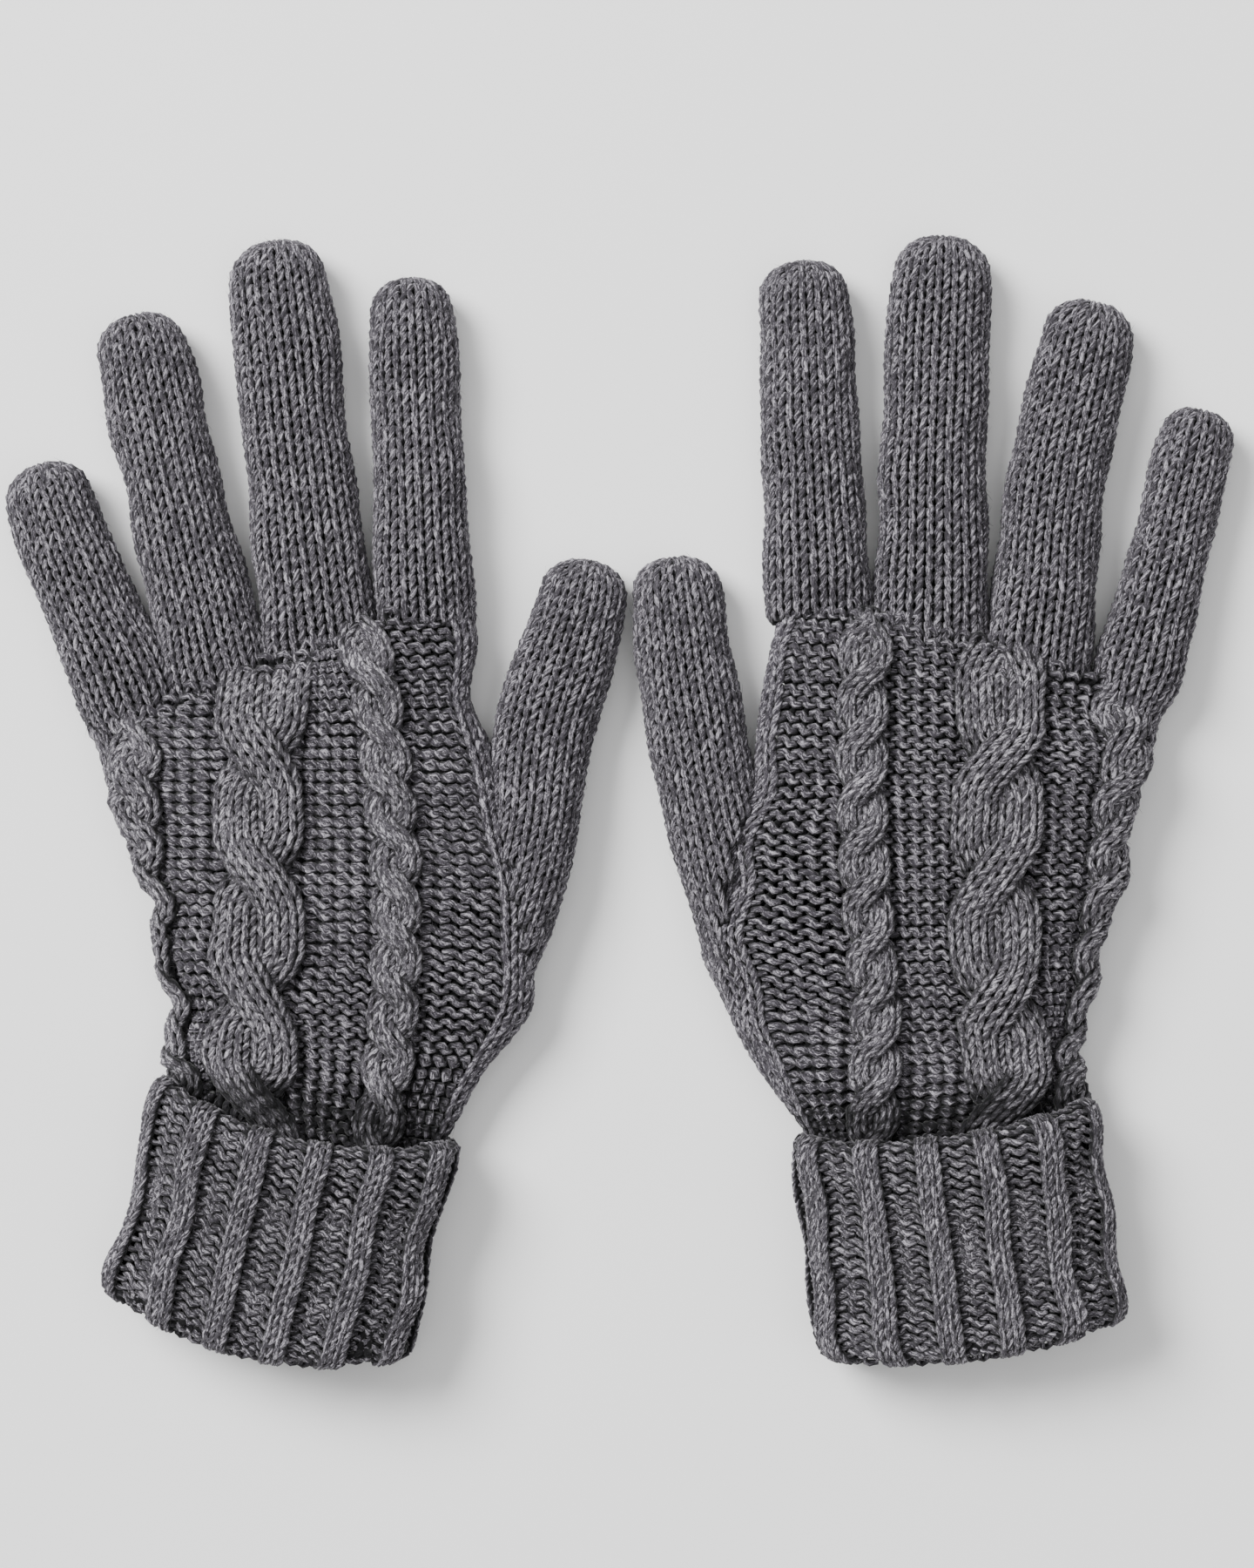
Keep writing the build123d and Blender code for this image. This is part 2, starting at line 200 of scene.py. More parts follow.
class Yarns:
    """Collects swept yarns of one kind and makes one mesh of them."""

    def __init__(self, kind):
        self.kind = kind
        self.radius = YARN[kind]
        self.points, self.faces, self.ends, self.strips, self.fibre, self.open = [], [], [], [], [], []
        self.seeds, self.hair_ends = [], []
        self.count = 0

    def add(self, path, normals, closed, depth, shadow=0.0):
        """depth says how far each point of the path stands out of the fabric, from -1 to 1."""
        n = len(path)
        if closed:
            ahead, behind = np.roll(path, -1, 0), np.roll(path, 1, 0)
        else:
            ahead = np.concatenate([path[1:], path[-1:] * 2 - path[-2:-1]])
            behind = np.concatenate([path[:1] * 2 - path[1:2], path[:-1]])
        tangent = unit(ahead - behind)
        side = unit(np.cross(tangent, normals))
        top = np.cross(side, tangent)
        step = np.linalg.norm(np.diff(path, axis=0), axis=1)
        run = np.concatenate([[0], np.cumsum(step)])
        angle = np.arange(YARN_SIDES) / YARN_SIDES * TURN
        twist = run[:, None] / PLY_PITCH * TURN + angle[None, :]
        girth = self.radius * (1 + PLY_RIDGE * np.cos(2 * twist))
        if not closed:
            girth[0] *= END_GIRTH
            girth[-1] *= END_GIRTH
        cos, sin = np.cos(angle)[None, :, None], np.sin(angle)[None, :, None]
        ring = side[:, None, :] * cos + top[:, None, :] * sin
        surface = path[:, None, :] + ring * girth[..., None]
        start = rng.uniform(0, FIBRE_SPREAD) * MM
        along = np.broadcast_to((run / MM + start / MM)[:, None], twist.shape)
        fibre = np.stack([along, np.cos(twist), np.sin(twist)], -1)
        base = self.count
        index = base + np.arange(n * YARN_SIDES).reshape(n, YARN_SIDES)
        nxt = np.roll(index, -1, 0) if closed else index[1:]
        here = index if closed else index[:-1]
        quads = np.stack([here, np.roll(here, -1, 1), np.roll(nxt, -1, 1), nxt], -1).reshape(-1, 4)
        sections = len(here)
        u0 = np.repeat(np.arange(sections), YARN_SIDES) / sections
        v0 = np.tile(np.arange(YARN_SIDES), sections) / YARN_SIDES
        u1, v1 = u0 + 1 / sections, v0 + 1 / YARN_SIDES
        corners = ((u0, v0), (u0, v1), (u1, v1), (u1, v0))
        self.faces.append(quads)
        self.strips.append(np.stack([np.stack(corner, -1) for corner in corners], 1))
        if not closed:
            self.ends.append(index[0][::-1])
            self.ends.append(index[-1])
        self.points.append(surface.reshape(-1, 3))
        self.seeds.append(np.stack([path + top * HAIR_ROOT * self.radius, top, tangent], 1))
        self.fibre.append(fibre.reshape(-1, 3))
        # painted shade: yarn deep in the fabric and the sides of each yarn get less openness, and shadow
        # takes more away
        turned = OPEN_TURN * np.sin(angle)[None, :]
        openness = OPEN_MIDDLE + OPEN_DEPTH * np.asarray(depth)[:, None] + turned
        openness = openness - np.reshape(shadow, (-1, 1))
        self.open.append((openness + rng.normal(0, OPEN_UNEVEN)).ravel())
        self.count += n * YARN_SIDES

    def add_fuzz(self):
        """Short loose hairs, each a thin closed spike, all over but for the underside."""
        seeds = np.concatenate(self.seeds)
        seeds = seeds[seeds[:, 1, 2] > UNDERSIDE]
        count = int(len(seeds) * FUZZ[self.kind])
        start, top, tangent = seeds[rng.choice(len(seeds), count, replace=False)].transpose(1, 0, 2)
        side = np.cross(top, tangent)
        lie, stand, veer, sway = rng.normal(0, 1, (4, count, 1))
        least, chance = FUZZ_STAND
        up = top * (least + chance * np.abs(stand))
        aim = unit(tangent * np.sign(lie) + up + side * FUZZ_VEER * veer)
        length = rng.uniform(*FUZZ_LENGTH, (count, 1))
        bend = (side * sway - top * FUZZ_DROOP) * FUZZ_BEND * length
        across = unit(np.cross(aim, top))
        over = np.cross(across, aim)
        rings = []
        for part in FUZZ_RINGS:
            middle = start + aim * length * part + bend * part**2
            for turn in np.arange(FUZZ_SIDES) / FUZZ_SIDES * TURN:
                spoke = across * math.cos(turn) + over * math.sin(turn)
                rings.append(middle + spoke * FUZZ_RADIUS * (1 - FUZZ_TAPER * part))
        index = self.count + np.arange(count * len(rings)).reshape(count, -1, FUZZ_SIDES)
        here, nxt = index[:, :-1], index[:, 1:]
        quads = np.stack([here, np.roll(here, -1, 2), np.roll(nxt, -1, 2), nxt], -1).reshape(-1, 4)
        place = np.arange(len(quads) + 1) / len(quads)
        corners = ((place[:-1], 0), (place[:-1], 1), (place[1:], 1), (place[1:], 0))
        self.faces.append(quads)
        self.strips.append(np.stack([np.stack([u, np.full(len(quads), v)], -1) for u, v in corners], 1))
        self.hair_ends = np.concatenate([index[:, 0, ::-1], index[:, -1]])
        self.points.append(np.stack(rings, 1).reshape(-1, 3))
        self.fibre.append(np.repeat(rng.uniform(0, FIBRE_SPREAD, (count, 3)), len(rings), 0))
        self.open.append(np.full(count * len(rings), 1.0))
        self.count += count * len(rings)

    def mesh(self, name):
        """One mesh of all the yarns and their hairs."""
        self.add_fuzz()
        points = np.concatenate(self.points)
        quads = np.concatenate(self.faces)
        total = len(self.faces)
        # each yarn has a strip of the bake's picture to itself
        strips = [
            (strip + [0, k]) * [1, 1 / total] * STRIP_SIZE + STRIP_MARGIN
            for k, strip in enumerate(self.strips)
        ]
        uv = np.concatenate(strips).reshape(-1, 2)
        ends = np.array(self.ends, int).reshape(-1, YARN_SIDES)
        hair_ends = self.hair_ends
        loops = np.concatenate([quads.ravel(), ends.ravel(), hair_ends.ravel()])
        sizes = np.repeat([4, YARN_SIDES, FUZZ_SIDES], [len(quads), len(ends), len(hair_ends)])
        mesh = bpy.data.meshes.new(name)
        mesh.vertices.add(len(points))
        mesh.vertices.foreach_set("co", points.ravel())
        mesh.loops.add(len(loops))
        mesh.loops.foreach_set("vertex_index", loops.astype(np.int32))
        mesh.polygons.add(len(sizes))
        starts = np.concatenate([[0], np.cumsum(sizes)[:-1]])
        mesh.polygons.foreach_set("loop_start", starts.astype(np.int32))
        mesh.polygons.foreach_set("use_smooth", np.ones(len(sizes), bool))
        layer = mesh.uv_layers.new(name="OFBake")
        tail = np.full((ends.size + hair_ends.size, 2), END_SPOT)
        layer.data.foreach_set("uv", np.concatenate([uv, tail]).astype(np.float32).ravel())
        fibre = mesh.attributes.new("fibre", "FLOAT_VECTOR", "POINT")
        fibre.data.foreach_set("vector", np.concatenate(self.fibre).astype(np.float32).ravel())
        openness = mesh.attributes.new("open", "FLOAT", "POINT")
        openness.data.foreach_set("value", np.concatenate(self.open).astype(np.float32))
        mesh.update(calc_edges=True)
        mesh.validate()
        return mesh


def ease(t):
    """Runs from 0 to 1 with level ends."""
    return t * t * (3 - 2 * t)


CHANGE_START, CHANGE_WIDTH = 0.3, 0.4   # where, between two stitches' middles, one kind runs into the next


def spread(x, values):
    """Values given one for each stitch, run smoothly into each other along a course."""
    values = np.asarray(values, float)
    last = len(values) - 1
    cell = np.clip(np.floor(x - 0.5), 0, last - 1)
    t = ease(np.clip((x - 0.5 - cell - CHANGE_START) / CHANGE_WIDTH, 0, 1))
    k = cell.astype(int)
    between = values[k] * (1 - t) + values[k + 1] * t
    return np.where(x <= 0.5, values[0], np.where(x >= last + 0.5, values[-1], between))


def course(yarns, tube, s, edges, kinds, lifts, closed=False, height=COURSE, shadow=0.0, sink=PURL_SINK):
    """One course of loops round a tube.

    edges are the stitch boundaries in u; kinds are 1 for a knit and -1 for a purl stitch; lifts
    say how far each stitch stands out of the surface.
    """
    n = len(kinds)
    steps = LOOP_STEPS[yarns.kind]
    x = np.arange(0, n * steps + (0 if closed else 1)) / steps
    jitter = rng.normal(0, 1, (3, n))
    uneven = [np.interp(x, np.arange(n) + 0.5, row) for row in jitter]
    if closed:
        kind = spread(np.mod(x, n), kinds)
        edge_mix = np.minimum(x, n - x) < 0.5
        kind = np.where(edge_mix & (kinds[0] != kinds[-1]), 0.0, kind)
        fade = np.clip(np.minimum(x, n - x), 0, 1)
        uneven = [u * fade for u in uneven]
    else:
        kind = spread(x, kinds)
    lift = spread(x, lifts)
    swing = PURL_SWING + (LOOP_SWING - PURL_SWING) * (1 + kind) / 2
    reach_out = PURL_REACH + (LOOP_REACH - PURL_REACH) * (1 + kind) / 2
    shifted = x + swing * (1 + UNEVEN * uneven[0]) * np.sin(2 * TURN * x)
    u = np.interp(shifted, np.arange(n + 1), edges)
    past_start = np.where(shifted < 0, shifted, 0) * (edges[1] - edges[0])
    past_end = np.where(shifted > n, shifted - n, 0) * (edges[-1] - edges[-2])
    u += past_start + past_end
    rise = -reach_out * (1 + UNEVEN * uneven[1]) * np.cos(TURN * x) * height
    rise -= np.clip(-kind, 0, 1) * PURL_SLANT * np.sin(2 * TURN * x) * height * tube.side
    sunk = np.clip(-kind, 0, 1) * sink * (1 - np.cos(2 * TURN * x)) / 2
    depth = LOOP_DEPTH * (UNEVEN * uneven[2] - kind * np.cos(2 * TURN * x) - sunk)
    along = s + rise
    point, normal = tube.point(u, along), tube.normal(u, along)
    inset = yarns.radius + LOOP_DEPTH
    yarns.add(point + normal * (depth + lift - inset)[:, None], normal, closed, depth / LOOP_DEPTH, shadow)


def runs_of(keep):
    """First and last places of each stretch of kept stitches."""
    padded = np.concatenate([[False], keep, [False]]).astype(int)
    change = np.diff(padded)
    return list(zip(np.where(change == 1)[0], np.where(change == -1)[0]))


FEWEST = 5                     # stitches left where a tube closes


def knit_tube(yarns, tube, start, end, keep=None):
    """Plain stockinette round a tube between two places along it.

    keep, if given, says which of the stitches at some places are there.
    """
    rows = max(1, round((end - start) / COURSE))
    full = round(tube.girth(tube.length / 2) / WALE)
    for row in range(rows):
        s = start + (row + 0.5) * COURSE
        n = int(np.clip(round(tube.girth(s) / (TIGHTEST * WALE)), FEWEST, full))
        edges = (np.arange(n + 1) + 0.5) / n
        middle = (edges[1:] + edges[:-1]) / 2
        good = np.ones(n, bool) if keep is None else keep(tube.point(middle, np.full(n, s)))
        if good.all():
            course(yarns, tube, s, edges, np.ones(n), np.zeros(n), closed=True)
            continue
        first = int(np.argmin(good))
        for a, b in runs_of(np.roll(good, -first)):
            line = edges[0] + (first + np.arange(a, b + 1)) / n
            course(yarns, tube, s, line, np.ones(b - a), np.zeros(b - a))


# What the frame says

joints = {j["name"]: j for j in frame["joints"]}


def joint_place(name):
    return vector(joints[name]["pos_m"])


def node_points(node):
    """Corners of a CAD part's mesh."""
    mesh = frame["nodes"][node].data
    co = np.zeros(len(mesh.vertices) * 3)
    mesh.vertices.foreach_get("co", co)
    return co.reshape(-1, 3)


def reach(points, direction):
    """How far points reach along a direction, at least and at most."""
    along = points @ vector(direction)
    return along.min(), along.max()


# Digits: fingers and thumbs are tubes that close in a blunt dome

ROOT_OVERLAP = 4.0 * MM        # how far a finger's tube starts inside the hand
ROOT_DIVE = 1.0 * MM           # how far its middle drops there, so that it comes out of the hand's fabric
ROOT_END, LOWER_START = 4 * MM, 16 * MM   # from the root's hinge
DIGIT_SQUARENESS = 2.3
ROOT_SWELL, LOWER_SWELL, TIP_TAPER = 1.11, 1.07, 0.93   # width, as a share of the CAD part's
EDGE_START_SWELL = 0.86        # a little finger starts narrow, inside the hand's edge
THUMB_SWELL = 1.03
ROOT_HALF_HEIGHT, TIP_HALF_HEIGHT = 9.2 * MM, 7.8 * MM
# how far the knitting lies to the right of its hinges at the root, the crease and the tip, in mm
DIGIT_SHIFTS = {
    "left_little": (2.6, 1.2, 0.0),
    "right_little": (2.4, 2.4, 2.2),
    "left_thumb": (0.0, 1.0, 2.2),
}
DOME_BLUNT = 0.78              # length of the dome, as a share of the half width
DOME_STEPS = 7
DOME_END = math.radians(86)    # the dome stops short of a point
DOME_FULL = 0.85               # lower is fuller
SPLIT_SHARE = 0.58             # how far from root to crease the lower knitting gives way to the upper
LAST_GAP = 0.2                 # courses left out at the very tip


class Digit:
    """Where the frame puts a finger or thumb.

    rise is the plan direction from root to crease, and reach the one from crease to tip.
    """

    def __init__(self, side, name):
        self.name = name
        self.body = f"{side}_{name}"
        self.root = joint_place(f"{side}_{name}_root")
        self.crease = joint_place(f"{side}_{name}_crease")
        closure = node_points(f"{side}_{name}_closure")
        middle = (closure.min(0) + closure.max(0)) / 2
        self.rise = unit((self.crease - self.root)[:2])
        self.reach = unit((middle - self.crease)[:2])
        far = reach(closure, (*self.reach, 0))[1]
        length = far - self.crease[:2] @ self.reach
        self.tip = self.crease[:2] + self.reach * length
        self.shift = vector(DIGIT_SHIFTS.get(self.body, (0, 0, 0))) * MM
        across = (self.reach[1], -self.reach[0], 0)
        low, high = reach(node_points(f"{side}_{name}_upper"), across)
        self.half_width = (high - low) / 2


def heading_of(direction):
    """Heading of the line across a tube that runs in this direction."""
    return math.atan2(-direction[0], direction[1])


def digit_sections(digit, before=()):
    """Sections from inside the hand to the closed tip. before are sections that lead up to the root."""
    sections = list(before)
    half = digit.half_width
    rise, along = digit.rise, digit.reach
    root, crease, tip = [
        spot[:2] + vector((shift, 0))
        for spot, shift in zip((digit.root, digit.crease, digit.tip), digit.shift)
    ]
    heading = heading_of(rise)
    stations = [(ROOT_END, THUMB_SWELL, 0)]
    if not before:
        start_swell = EDGE_START_SWELL if digit.name == "little" else ROOT_SWELL
        stations = [
            (-ROOT_OVERLAP, start_swell, ROOT_DIVE),
            (ROOT_END, ROOT_SWELL, 0),
            (LOWER_START, LOWER_SWELL, 0),
        ]
    for distance, swell, dive in stations:
        high = ROOT_HALF_HEIGHT - dive
        sections.append(((*(root + rise * distance), high), half * swell, high, heading))
    middle = (ROOT_HALF_HEIGHT + TIP_HALF_HEIGHT) / 2
    turn = heading_of((rise + along) / 2)
    sections.append(((*crease, middle), half, middle, turn))
    dome = half * DOME_BLUNT
    base = tip - along * dome
    high = TIP_HALF_HEIGHT
    for step in range(DOME_STEPS):
        angle = step / (DOME_STEPS - 1) * DOME_END
        spot = base + along * dome * math.sin(angle)
        size = math.cos(angle) ** DOME_FULL
        sections.append(((*spot, high), half * TIP_TAPER * size, high * size, heading_of(along)))
    return sections


def finish_piece(yarns, name, nodes):
    """Makes the object of some yarns, which stands in for CAD nodes."""
    piece = bpy.data.objects.new(name, yarns.mesh(name))
    bpy.context.scene.collection.objects.link(piece)
    piece.data.materials.append(materials[yarns.kind])
    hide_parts(*nodes)
    return piece


def blend_at(piece, a, b, hinge, direction, before, after):
    """Bakes a piece's placement into its mesh; the piece is not bent."""
    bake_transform(piece)


ROOT_BEND = (1.0 * MM, 11.0 * MM)      # stretch of fabric before and after a root, given to blend_at
CREASE_BEND = (8.0 * MM, 8.0 * MM)


def tube_place(tube, point, direction):
    """How far along a tube its centre passes a place."""
    s = np.linspace(0, tube.length, 400)
    cx, cy = tube.values(s)[:2]
    ahead = (cx - point[0]) * direction[0] + (cy - point[1]) * direction[1]
    return float(s[np.argmax(ahead > 0)])


def hinge_forward(side, name):
    """Plan direction straight ahead of a hinge."""
    axis = vector(joints[f"{side}_{name}_root"]["axis"])
    return vector([-axis[1], axis[0]])


def make_digit(side, name, before=(), start=0.0):
    """Knits a finger or thumb from start to its tip, in two pieces split between root and crease."""
    digit = Digit(side, name)
    tube = Tube(digit_sections(digit, before), DIGIT_SQUARENESS, mirrored=side == "right")
    split_point = digit.root[:2] * (1 - SPLIT_SHARE) + digit.crease[:2] * SPLIT_SHARE
    split = tube_place(tube, split_point, digit.rise)
    rows = round((split - start) / COURSE)
    split = start + rows * COURSE
    lower, upper = Yarns("plain"), Yarns("plain")
    knit_tube(lower, tube, start, split)
    knit_tube(upper, tube, split, tube.length - LAST_GAP * COURSE)
    forward = hinge_forward(side, name)
    body = digit.body
    piece = finish_piece(lower, f"{body}_lower_knit", [f"{body}_lower"])
    blend_at(piece, f"{side}_hand", f"{body}_lower", digit.root, forward, *ROOT_BEND)
    piece = finish_piece(upper, f"{body}_upper_knit", [f"{body}_upper", f"{body}_closure"])
    blend_at(piece, f"{body}_lower", f"{body}_upper", digit.crease, forward, *CREASE_BEND)


# Hand outlines: the little-finger edge and the thumb edge of sections from heel to knuckles, in mm
# from the root of the middle finger, each with the height of its middle and its half height
HAND_EDGES = {
    "left": [
        ((-35.6, -96.2), (45.2, -100.2), 10.2, 9.4),
        ((-37.9, -74.1), (54.9, -77.2), 11.0, 10.8),
        ((-43.9, -52.5), (50.2, -54.2), 11.0, 11.0),
        ((-55.2, -29.5), (42.7, -29.2), 10.7, 10.7),
        ((-60.7, -15.5), (38.9, -11.2), 10.1, 10.1),
        ((-64.1, 2.5), (36.1, 10.8), 9.7, 9.7),
        ((-66.3, 15.8), (35.1, 23.8), 9.6, 9.6),
    ],
    "right": [
        ((35.3, -99.5), (-46.6, -101.5), 10.2, 9.4),
        ((40.5, -77.5), (-55.9, -80.5), 11.0, 10.8),
        ((46.5, -55.8), (-52.8, -57.5), 11.0, 11.0),
        ((53.3, -32.8), (-44.8, -32.5), 10.7, 10.7),
        ((58.8, -18.8), (-41.5, -14.5), 10.1, 10.1),
        ((63.8, -0.8), (-38.7, 7.5), 9.7, 9.7),
        ((66.8, 12.5), (-37.9, 20.5), 9.6, 9.6),
    ],
}
# Middle line of the thumb gusset from the heel up to the root of the thumb, in mm from the same
# place, with its half height, and its width as a share of the thumb's
GUSSET_LINE = {
    "left": [
        (30.7, -104.2, 7.6, 0.55),
        (38.2, -87.5, 9.2, 0.77),
        (46.5, -67.5, 9.6, 0.92),
        (52.0, -45.5, 9.4, 0.96),
    ],
    "right": [
        (-33.8, -105.5, 7.6, 0.62),
        (-41.9, -85.8, 9.2, 0.88),
        (-49.1, -64.8, 9.6, 0.94),
        (-52.9, -49.5, 9.4, 0.98),
    ],
}
HAND_SQUARENESS = 2.7
WRIST_DROP = 3.2 * MM          # how far the hand sinks where it runs into the cuff
WRIST_STATIONS = (10 * MM, 1 * MM)   # how far inside the cuff its first sections stand
HAND_COURSE = 3.0 * MM
CABLE_HALF = {"edge": 7.2 * MM, "wide": 11.4 * MM, "narrow": 6.2 * MM}   # half the width of each
GROUND_SHARE = 0.62            # how much of the back beyond the narrow cable is purl
GROUND_LEAST = 0.06            # at least this share of the way round is left for it
EDGE_DISTANCE = (29.6 * MM, 31.4 * MM)   # from the wide cable round to the edge cable, at heel and knuckles
# the cables' drift to the right near the cuff, and their bow to the right halfway, in mm
CABLE_DRIFTS = {
    ("left", "wide"): (-6.0, 0.5),
    ("right", "wide"): (7.0, 0.0),
    ("right", "narrow"): (0.0, -3.6),
}
DRIFT_START, DRIFT_SPAN, DRIFT_MOST = -5 * MM, 50 * MM, 1.3
CABLE_FADE = 12 * MM           # stretch at each end where a cable sinks into the fabric
CABLE_END = 0.5 * MM           # behind the roots of the fingers
BACK_END = -0.6 * MM           # the same for the ground
BACKING_LIFT = -1.3 * MM       # fabric under a cable lies back
PURL_LIFT = -0.25 * MM
CABLE_LIFT = 0.5               # how far a cable stands out all along, as a share of its rise
CABLE_DIVE = -0.9              # how far a strand dips under the other, as a share of its rise
CABLE_SETTLE = (2.2, 1.2)      # how deep its ends lie, and how far they come up from there, in radii
CROWN = 0.9                    # how round a cable's strand is across, as a share of its rise
STRAND_SHADE = 0.36            # shadow down the two sides of a cable's strand
FULL_RISE = 1.7 * MM           # a cable that rises less throws less shadow
UNDER_SHADE = 0.36             # shadow on a strand where it passes under the other
KNUCKLE_DROP = 1.1 * MM        # how far the back sinks where it meets the fingers
KNUCKLE_FADE = 7 * MM
CABLE_DROP = 1.6 * MM          # the same for a cable
WRIST_HIDDEN = 12 * MM         # length of the hand that stands inside the cuff
WRIST_GLOOM = 8 * MM           # stretch of the hand in the cuff's shadow
WRIST_SHADE = 0.45


class Cuff:
    """Where the frame puts a glove's cuff."""

    def __init__(self, side):
        down = vector(joints[f"{side}_cuff_unfold"]["axis"])
        self.down = unit(down)
        self.run = vector([-self.down[1], self.down[0], 0])
        layer = node_points(f"{side}_cuff_turnback")
        sleeve = node_points(f"{side}_cuff_sleeve")
        self.top, self.bottom = reach(layer, self.down)
        low, high = reach(layer, self.run)
        self.half_width = (high - low) / 2
        self.middle = (low + high) / 2
        low, high = reach(sleeve, self.run)
        self.sleeve_half = (high - low) / 2
        self.height = layer[:, 2].max() / 2
        self.sleeve_height = (sleeve[:, 2].max() - sleeve[:, 2].min()) / 2
        self.sleeve_bottom = reach(sleeve, self.down)[1]

    def centre(self, along):
        spot = self.down * along + self.run * self.middle
        return (spot[0], spot[1], self.height)

    def heading(self):
        return heading_of(-self.down[:2])


def plan_place(side, offset):
    """Plan place of a point that is given in mm from the root of the middle finger."""
    return joint_place(f"{side}_middle_root")[:2] + vector(offset) * MM


def hand_sections(side, cuff):
    """Sections from inside the cuff to past the knuckles."""
    heading = cuff.heading()
    sections = []
    for along in WRIST_STATIONS:
        x, y, z = cuff.centre(cuff.top + along)
        lowered = (x, y, z - WRIST_DROP)
        sections.append((lowered, cuff.sleeve_half, cuff.sleeve_height - WRIST_DROP, heading))
    for little, thumb, middle, high in HAND_EDGES[side]:
        little, thumb = plan_place(side, little), plan_place(side, thumb)
        centre = (little + thumb) / 2
        across = (thumb - little) * (-1 if side == "right" else 1)
        heading = math.atan2(across[1], across[0])
        sections.append(((*centre, middle * MM), np.linalg.norm(across) / 2, high * MM, heading))
    return sections


def centre_line(side, name):
    """Plan line that a cable follows, as x for a given y."""
    node = f"{side}_{'wide' if name == 'edge' else name}_cable"
    points = node_points(node)
    line = np.poly1d(np.polyfit(points[:, 1], points[:, 0], 2))
    drift, bow = CABLE_DRIFTS.get((side, name), (0, 0))

    def place(y):
        low = np.clip((DRIFT_START - y) / DRIFT_SPAN, 0, DRIFT_MOST)
        halfway = np.clip(1 - (y / DRIFT_SPAN) ** 2, 0, 1)
        return line(y) + (drift * low**2 + bow * halfway) * MM

    return place


def on_line(tube, s, line):
    """Place round a section, on the back, that lies on a plan line."""
    u = np.linspace(-0.04, 0.5, 220)
    spots = tube.point(u, np.full(len(u), s))
    gap = spots[:, 0] - line(spots[:, 1])
    gap = gap * (1 if gap[-1] > gap[0] else -1)
    return float(u[np.argmax(gap > 0)])


def cable_place(tube, s, name, lines):
    if name == "edge":
        distance = np.interp(s, (0, tube.length), EDGE_DISTANCE)
        return on_line(tube, s, lines["edge"]) - distance / tube.girth(s)
    return on_line(tube, s, lines[name])


def back_layout(tube, s, lines):
    """Stitch boundaries, kinds and lifts of one course round the hand.

    It starts at the edge cable, and goes over the back and home under the palm.
    """
    girth = tube.girth(s)
    half = {name: width / girth for name, width in CABLE_HALF.items()}
    edge, wide, narrow = (cable_place(tube, s, name, lines) for name in ("edge", "wide", "narrow"))
    ground_end = narrow + half["narrow"]
    ground_end += GROUND_SHARE * max(0.5 - ground_end, GROUND_LEAST)
    stretches = [
        # start, stitches, kind, lift
        (edge - half["edge"], 4, -1, BACKING_LIFT),
        (edge + half["edge"], 3, -1, PURL_LIFT),
        (wide - half["wide"], 5, -1, BACKING_LIFT),
        (wide + half["wide"], 4, -1, PURL_LIFT),
        (narrow - half["narrow"], 3, -1, BACKING_LIFT),
        (narrow + half["narrow"], 4, -1, PURL_LIFT),
        (ground_end, 0, 1, 0.0),
    ]
    stop = stretches[0][0] + 1
    edges, kinds, lifts = [stretches[0][0]], [], []
    for k, (start, count, kind, lift) in enumerate(stretches):
        end = stretches[k + 1][0] if k + 1 < len(stretches) else stop
        count = count or max(4, round((end - start) * girth / WALE))
        edges.extend(np.linspace(start, end, count + 1)[1:])
        kinds.extend([kind] * count)
        lifts.extend([lift] * count)
    return np.array(edges), np.array(kinds, float), np.array(lifts)


def make_hand(side):
    """Knits a hand with its cables, and returns where its cuff goes."""
    cuff = Cuff(side)
    tube = Tube(hand_sections(side, cuff), HAND_SQUARENESS, mirrored=side == "right")
    lines = {name: centre_line(side, name) for name in ("edge", "wide", "narrow")}
    forward = hinge_forward(side, "middle")
    limit = joint_place(f"{side}_middle_root")[:2] @ forward
    back, palm = Yarns("ground"), Yarns("plain")
    rows = int(tube.length / HAND_COURSE)
    for row in range(rows):
        s = (row + 0.5) * HAND_COURSE
        gloom = WRIST_SHADE * float(np.clip(1 - (s - WRIST_HIDDEN) / WRIST_GLOOM, 0, 1))
        edges, kinds, lifts = back_layout(tube, s, lines)
        middle = (edges[1:] + edges[:-1]) / 2
        spots = tube.point(middle, np.full(len(middle), s))
        ahead = limit - spots[:, :2] @ forward
        keep = ahead > BACK_END
        lifts = lifts - KNUCKLE_DROP * np.clip(1 - ahead / KNUCKLE_FADE, 0, 1)
        is_back = middle < 0.5
        for yarns, chosen in ((back, keep & is_back), (palm, keep & ~is_back)):
            for a, b in runs_of(chosen):
                if b - a < 2:
                    continue
                course(yarns, tube, s, edges[a:b + 1], kinds[a:b], lifts[a:b],
                       height=HAND_COURSE, shadow=gloom)
    body = f"{side}_hand"
    piece = finish_piece(back, f"{side}_back_knit", [f"{side}_back_panel"])
    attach(piece, body)
    piece = finish_piece(palm, f"{side}_palm_knit", [f"{side}_palm_panel"])
    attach(piece, body)
    specs = {
        # stitches in a strand, width of one, courses between crossings and in one, rise
        "wide": (3, 3.8 * MM, 10.2, 7.4, 2.0 * MM),
        "narrow": (2, 3.15 * MM, 4.3, 3.3, 1.9 * MM),
        "edge": (2, 3.6 * MM, 4.3, 3.9, 1.2 * MM),
    }
    for name, spec in specs.items():
        rope = Yarns("cable")
        make_cable(rope, tube, name, lines, rows, spec, forward, limit)
        piece = finish_piece(rope, f"{side}_{name}_cable_knit", [f"{side}_{name}_cable"])
        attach(piece, body)
    return cuff


